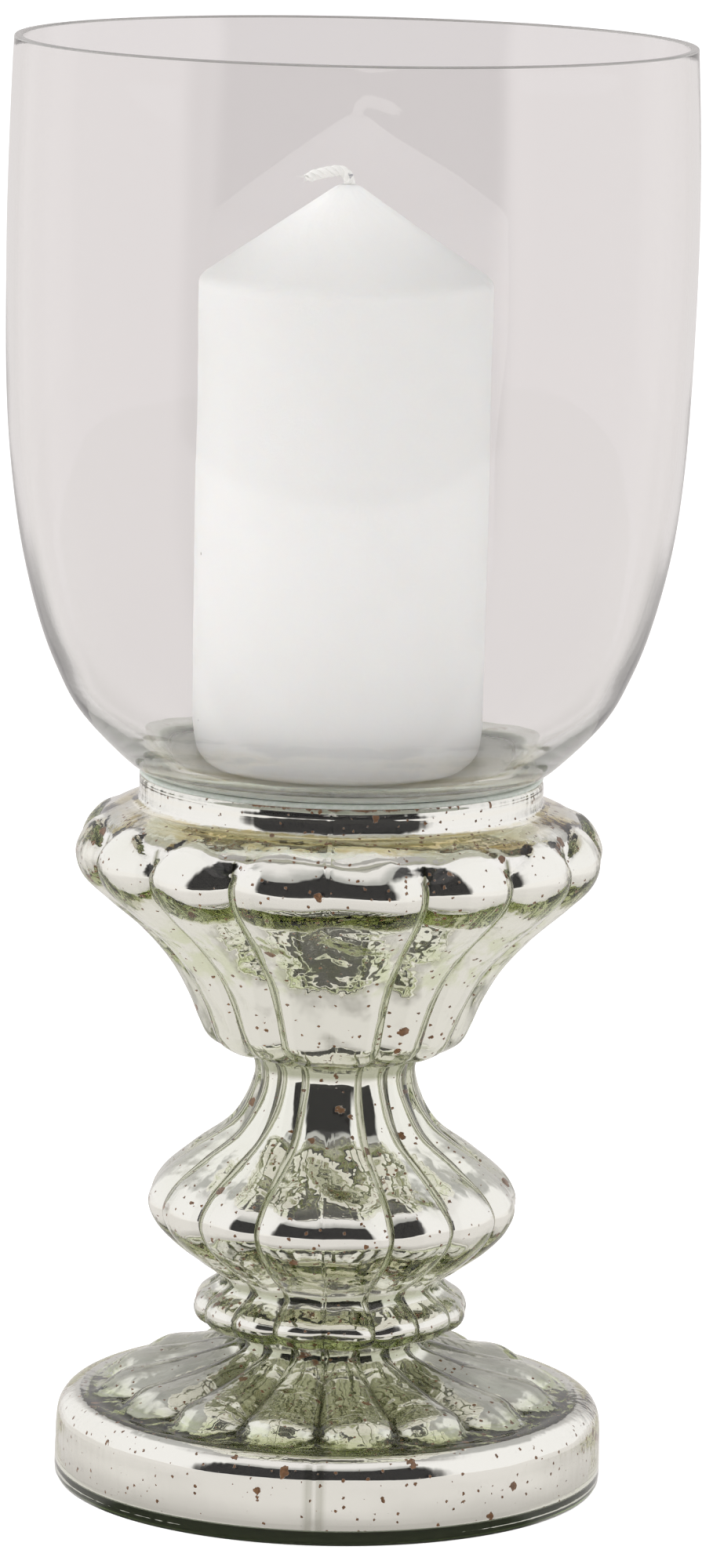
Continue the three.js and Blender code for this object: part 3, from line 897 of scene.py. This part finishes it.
def silver_tone(graph, place, height):
    """The colour of the whole silver: warm white, yellowed where it ran thin, and darkened by painted shade
    in the narrow places, on the petals, along the grooves, on the flange, in the moat and below the
    gadroons.
    """
    tone = graph.mix(graph.noise(place, 22, 2), colour(0.93, 0.91, 0.88), colour(0.96, 0.945, 0.92))
    # The yellowed colour of thin silver, which also serves as painted shade on the flange, in the moat and
    # below the gadroons.
    thin = graph.mix(graph.step(height, 158, 174), colour(0.74, 0.78, 0.54), colour(0.74, 0.62, 0.34))
    tone = graph.mix(patina_and_painted_shade(graph, place, height), tone, thin)
    # Painted shade on the petals.
    tone = graph.mix(painted_petal_shade(graph, place, height), tone, colour(0.64, 0.63, 0.6))
    # Painted shade in the narrow places, where the mirror would show its own dark hollows.
    narrow = graph.most(*(graph.window(height, *place_span) for place_span in PAINTED_SHADE_NARROWS))
    tone = graph.mix(graph.times(narrow, 0.7), tone, colour(0.4, 0.42, 0.27))
    # Painted shade read from the mesh's attribute: darker in the grooves, along the petals' edges and
    # beside the foot's seams.
    crease_shade = graph.add("ShaderNodeAttribute", {"attribute_name": "crease_shade"}).outputs["Fac"]
    uneven = graph.step(graph.noise(place, 11, 2), 0.2, 0.6, 0.5, 0.9)
    return graph.mix(graph.times(graph.step(crease_shade, 0.05, 0.8), uneven), tone, colour(0.2, 0.2, 0.11))


def painted_petal_shade(graph, place, height):
    """Painted shade: greyer streaks along the petals of the foot, mostly at its sides, for the darker room
    they reflect.
    """
    side, radius = round_axis(graph, place)
    petals = graph.times(
        graph.step(height, HIGHEST_PETAL, HIGHEST_PETAL - 3),
        graph.step(radius, WIDEST_PETAL, WIDEST_PETAL - 3),
        graph.step(height, LOWEST_PETAL, LOWEST_PETAL + 2),
        graph.step(side, 25, 50, 0.1, 1.0),
    )
    along = graph.add("ShaderNodeCombineXYZ", None, X=graph.times(side, 0.16), Y=graph.times(radius, 0.05))
    rays = graph.noise(along.outputs[0], 1, 3, 0.6)
    return graph.times(petals, graph.step(rays, 0.36, 0.6, 0.3, 1.0))


def patina_and_painted_shade(graph, place, height):
    """Where the silver is thin and yellowed, with painted shade for the dark things it reflects there: the
    flange and the moat of the foot. Below the gadroons the streaks are painted shade only.
    """
    side, radius = round_axis(graph, place)
    ragged = graph.math("SUBTRACT", graph.noise(place, 5, 4, 0.7), 0.5)
    ragged = graph.times(ragged, 4.0)
    level = graph.math("ADD", height, ragged)
    out = graph.math("ADD", radius, ragged)
    # Yellowed thin silver on the flange, with painted shade for what it reflects, fading towards the sides.
    flange = graph.times(
        graph.step(level, FLANGE_START, FLANGE_START + 1),
        graph.step(level, FLANGE_END, FLANGE_END - 0.8),
        graph.step(side, 35, 65, 1.0, 0.3),
    )
    # The same in the moat of the foot.
    moat = graph.times(
        graph.step(out, MOAT_START, MOAT_START + 8),
        graph.step(out, MOAT_END, MOAT_END - 0.8),
        graph.step(height, 26.5, 23.5),
    )
    rows = graph.noise(graph.stretched(place, 0.05, 0.05, 1.6), 1, 3, 0.6)
    thin = graph.times(graph.most(flange, moat), graph.step(rows, 0.3, 0.6, 0.35, 0.95))
    # Painted shade in vertical streaks below the gadroons, for the dark foot that the bowl reflects.
    lines = graph.noise(graph.stretched(place, 1, 1, 0.2), 4, 3)
    painted_under_shade = graph.times(graph.window(level, *BELOW_GADROONS), graph.step(lines, 0.4, 0.62, 0.0, 0.6))
    return graph.most(thin, painted_under_shade)


def bond_material():
    """Cured adhesive, milky and a little see-through."""
    material, graph = new_material("milky_adhesive")
    grain = graph.noise(graph.position(), 1.8, 4, 0.6)
    tone = graph.mix(graph.step(grain, 0.35, 0.7), colour(0.76, 0.82, 0.74), colour(0.92, 0.95, 0.9))
    graph.look(Base_Color=tone, Transmission_Weight=0.35, Roughness=0.3, Normal=graph.bump(grain, 0.15))
    return material


def wax_material():
    """Paraffin: bright and slightly see-through, with a dull bloom, pits and specks."""
    material, graph = new_material("pillar_wax")
    place = graph.position()
    tone = graph.mix(graph.noise(place, 16, 3), colour(0.93, 0.925, 0.9), colour(0.965, 0.962, 0.95))
    specks = flecks(graph, place, 9, 0.5, 0.4, graph.noise(place, 30, 1))
    pits = graph.math("ADD", graph.noise(place, 0.9, 3), graph.times(specks, -2.0))
    graph.look(
        Base_Color=graph.mix(specks, tone, colour(0.25, 0.23, 0.2)),
        Subsurface_Weight=0.35,
        Subsurface_Radius=(1.0, 0.85, 0.7),
        Subsurface_Scale=6 * MM,
        IOR=1.43,
        Roughness=graph.step(graph.noise(place, 5, 3), 0.3, 0.75, 0.38, 0.6),
        Normal=graph.bump(pits, 0.05),
    )
    return material


def cotton_material():
    """Unburnt waxed cotton, greyer where the wick bends."""
    material, graph = new_material("waxed_cotton")
    place = graph.position()
    grain = graph.noise(graph.stretched(place, 0.5, 2.5, 2.5), 0.35, 4, 0.7)
    tone = graph.mix(grain, colour(0.78, 0.77, 0.74), colour(0.95, 0.945, 0.925))
    bend_grey = patch(graph, place, (-0.6, -1.2, CANDLE_TOP + 2.2), 2.2, graph.noise(place, 0.8, 3))
    tone = graph.mix(bend_grey, tone, colour(0.42, 0.42, 0.44))
    graph.look(Base_Color=tone, Roughness=0.85, Normal=graph.bump(grain, 0.12))
    return material


# ------------------------ studio

CAMERA_DISTANCE = 1.928
CAMERA_HEIGHT = 0.520
CAMERA_AZIMUTH = 2.4  # the camera stands a little to the right of the front seam
CAMERA_ASIDE = 0.0040  # and is aimed past the axis by this much, in metres
CAMERA_PITCH = 9.83
CAMERA_ROLL = 1.25
CAMERA_LENS = 171.86

# The dark space behind the camera, from, to and fading out over, in degrees.
DARK_AZIMUTHS = (-50, 48, 8)
DARK_ELEVATIONS = (-40, 50, 4)

MIRROR = "Glossy Depth"  # what counts a ray's reflections and its ways through glass
GLASS = "Transmission Depth"
BEHIND_GLASS = colour(0.76, 0.725, 0.725)  # what room and floor look like through the glass
GLASS_EDGE = colour(0.74, 0.71, 0.705)  # what shows where light grazes the glass
FLOOR_REACH = 20.0
TABLE_FRONT = 720  # how far the pale table reaches towards the camera in reflections, in millimetres
LIGHT_DISTANCE = 1.5  # of the softboxes from the axis, and their height, in metres
LIGHT_HEIGHT = 0.75
LIGHT_AIM = Vector((0, 0, 0.22))


def make_camera():
    data = bpy.data.cameras.new("camera")
    data.sensor_width = 36.0
    data.lens = CAMERA_LENS
    camera = bpy.data.objects.new("camera", data)
    turn = math.radians(CAMERA_AZIMUTH)
    aside = Vector((math.cos(turn), math.sin(turn), 0)) * CAMERA_ASIDE
    stand = Vector((math.sin(turn), -math.cos(turn), 0)) * CAMERA_DISTANCE
    aim = (
        Matrix.Rotation(turn, 4, "Z")
        @ Matrix.Rotation(math.radians(90 - CAMERA_PITCH), 4, "X")
        @ Matrix.Rotation(math.radians(CAMERA_ROLL), 4, "Z")
    )
    camera.matrix_world = Matrix.Translation(stand + aside + Vector((0, 0, CAMERA_HEIGHT))) @ aim
    bpy.context.scene.collection.objects.link(camera)
    bpy.context.scene.camera = camera


def seen_by(graph, way):
    """1 for light that reaches the eye by MIRROR or through GLASS and off nothing dull, else 0."""
    by_way = graph.math("GREATER_THAN", graph.ray(way), 0.5)
    return graph.times(by_way, graph.math("LESS_THAN", graph.ray("Diffuse Depth"), 0.5))


def never_in_glass(graph):
    """1 for light that went through no glass on its way, else 0."""
    return graph.math("LESS_THAN", graph.ray("Transmission Depth"), 0.5)


def lift_guided(graph, shown):
    """The colour shown, made paler for light that went to and fro inside one wall of glass."""
    one_wall = graph.math("LESS_THAN", graph.ray("Transmission Depth"), 2.5)
    to_and_fro = graph.math("GREATER_THAN", graph.ray("Glossy Depth"), 1.5)
    return graph.mix(graph.times(one_wall, to_and_fro), shown, GLASS_EDGE)


def make_world():
    """A plain bright room, which looks different in reflections and through glass."""
    world = bpy.data.worlds.new("studio")
    world.use_nodes = True
    bpy.context.scene.world = world
    graph = Graph(world.node_tree)
    east, north, up = graph.split(graph.add("ShaderNodeTexCoord").outputs[0])
    azimuth = from_front(graph, east, north)
    elevation = graph.math("DEGREES", graph.math("ARCSINE", up))
    seen = graph.mix(seen_by(graph, GLASS), room_light(graph, east, elevation), BEHIND_GLASS)
    seen = graph.mix(seen_by(graph, MIRROR), seen, mirrored_room(graph, azimuth, elevation))
    background = graph.add("ShaderNodeBackground", None, Color=seen, Strength=1.0)
    output = graph.add("ShaderNodeOutputWorld")
    graph.feed(output.inputs["Surface"], background.outputs[0])


def room_light(graph, east, elevation):
    """The light on dull surfaces, which comes mostly from the left and from low down."""
    room = graph.mix(graph.step(east, 0.5, -0.7), grey(1.62), grey(2.5))
    room = graph.mix(graph.step(elevation, 25, 55), room, grey(0.52))
    # It is set for a candle behind glass. Half of it is enough outside, so the lifted candle isn't lost.
    return graph.mix(graph.times(never_in_glass(graph), 0.5), room, grey(0))


def mirrored_room(graph, azimuth, elevation):
    """The room in reflections: dark behind the camera, bright beside it and above, grey at the back."""
    aside = graph.math("ABSOLUTE", azimuth)
    back = graph.mix(graph.step(elevation, 18, 45), colour(0.5, 0.49, 0.48), colour(0.47, 0.47, 0.46))
    back = graph.mix(never_in_glass(graph), back, GLASS_EDGE)
    reach = graph.step(elevation, 34, 44, 158.0, 138.0)
    short_of_back = graph.step(graph.math("SUBTRACT", reach, aside), -8, 8)
    beside = graph.times(short_of_back, graph.step(aside, 52, 60))
    walls = graph.mix(beside, back, colour(0.95, 0.94, 0.94))
    ceiling = graph.mix(graph.step(aside, 95, 120), colour(0.86, 0.84, 0.84), colour(0.42, 0.41, 0.4))
    walls = graph.mix(graph.step(elevation, 54, 68), walls, ceiling)
    dark = graph.times(graph.window(azimuth, *DARK_AZIMUTHS), graph.window(elevation, *DARK_ELEVATIONS))
    shown = graph.mix(dark, walls, colour(0.02, 0.02, 0.022))
    often_reflected = graph.math("GREATER_THAN", graph.ray("Ray Depth"), 7.5)
    return lift_guided(graph, graph.mix(often_reflected, shown, colour(0.42, 0.43, 0.32)))


def mirrored_floor(graph, place):
    """The floor in reflections: dim near the foot, a painted shadow of the lantern, dim at the back, and
    dark past the table's front.
    """
    east, north, _ = graph.split(place)
    azimuth = from_front(graph, east, north)
    away = graph.vector("LENGTH", place)["Value"]
    # A painted shadow of the lantern on the floor round its foot.
    near = graph.mix(graph.step(away, 72, 115), colour(0.5, 0.48, 0.46), colour(0.8, 0.775, 0.755))
    rear = graph.mix(graph.step(away, 900, 1200), colour(0.45, 0.44, 0.42), colour(0.75, 0.72, 0.71))
    far = graph.mix(graph.window(azimuth, -134, 134, 16), rear, colour(0.95, 0.93, 0.915))
    shown = graph.mix(graph.step(away, 300, 700), near, far)
    ahead = graph.window(azimuth, *DARK_AZIMUTHS)
    outer = graph.mix(ahead, colour(0.76, 0.73, 0.72), grey(0.1))
    shown = graph.mix(never_in_glass(graph), shown, outer)
    beyond = graph.times(graph.step(north, -TABLE_FRONT, -TABLE_FRONT - 80), ahead)
    return lift_guided(graph, graph.mix(beyond, shown, grey(0.03)))


def floor_material():
    """White to the camera. In mirrors and through glass the floor glows, which keeps them free of noise."""
    material, graph = new_material("pale_floor")
    place = graph.position()
    tone = graph.mix(graph.noise(place, 60, 3), grey(0.97), grey(0.985))
    mirrored = seen_by(graph, MIRROR)
    indirect = graph.most(mirrored, seen_by(graph, GLASS))
    direct = graph.ray("Is Camera Ray")
    shown = graph.mix(mirrored, BEHIND_GLASS, mirrored_floor(graph, place))
    graph.look(
        Base_Color=graph.mix(indirect, tone, grey(0)),
        Emission_Color=graph.mix(direct, shown, grey(1)),
        Emission_Strength=graph.most(indirect, graph.times(direct, 0.6)),
        Roughness=0.9,
        Specular_IOR_Level=0.0,
    )
    return material


def make_floor():
    corners = [(x * FLOOR_REACH, y * FLOOR_REACH, 0) for x, y in ((-1, -1), (1, -1), (1, 1), (-1, 1))]
    mesh = bpy.data.meshes.new("floor")
    mesh.from_pydata(corners, [], [(0, 1, 2, 3)])
    mesh.materials.append(floor_material())
    floor = bpy.data.objects.new("floor", mesh)
    bpy.context.scene.collection.objects.link(floor)


def softbox(name, azimuth, watts):
    """A tall soft light that faces the lantern from an azimuth in degrees from the front."""
    data = bpy.data.lights.new(name, "AREA")
    data.shape = "RECTANGLE"
    data.size = 0.7
    data.size_y = 1.5
    data.energy = watts
    light = bpy.data.objects.new(name, data)
    turn = math.radians(azimuth)
    place = Vector((math.sin(turn) * LIGHT_DISTANCE, -math.cos(turn) * LIGHT_DISTANCE, LIGHT_HEIGHT))
    light.location = place
    light.rotation_euler = (place - LIGHT_AIM).to_track_quat("Z", "Y").to_euler()
    light.visible_camera = False
    light.visible_glossy = False
    light.visible_transmission = False
    bpy.context.scene.collection.objects.link(light)


# ------------------------ assembly


def install(piece, materials, body, node):
    for material in materials:
        piece.data.materials.append(material)
    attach(piece, body)
    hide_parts(node)


make_camera()
make_world()
make_floor()
softbox("left_softbox", -118, 16)
softbox("right_softbox", 110, 12)
install(make_pedestal(), [pressed_glass_material()], "lantern", "pedestal")
install(make_silvering(), [silver_material()], "lantern", "silvering")
install(make_bond(), [bond_material()], "lantern", "bond_ring")
# In the order of the slots GROUND, CLEAR, RIM and THICK.
shade_glasses = [ground_base_material, shade_glass_material, polished_rim_material, base_glass_material]
install(make_shade(), [make() for make in shade_glasses], "lantern", "shade")
install(make_candle(), [wax_material()], "candle", "candle_wax")
install(make_wick(), [cotton_material()], "candle", "wick")

bpy.context.scene.view_settings.view_transform = "Standard"
bpy.context.scene.cycles.max_bounces = 28
bpy.context.scene.cycles.glossy_bounces = 20
bpy.context.scene.cycles.transmission_bounces = 28
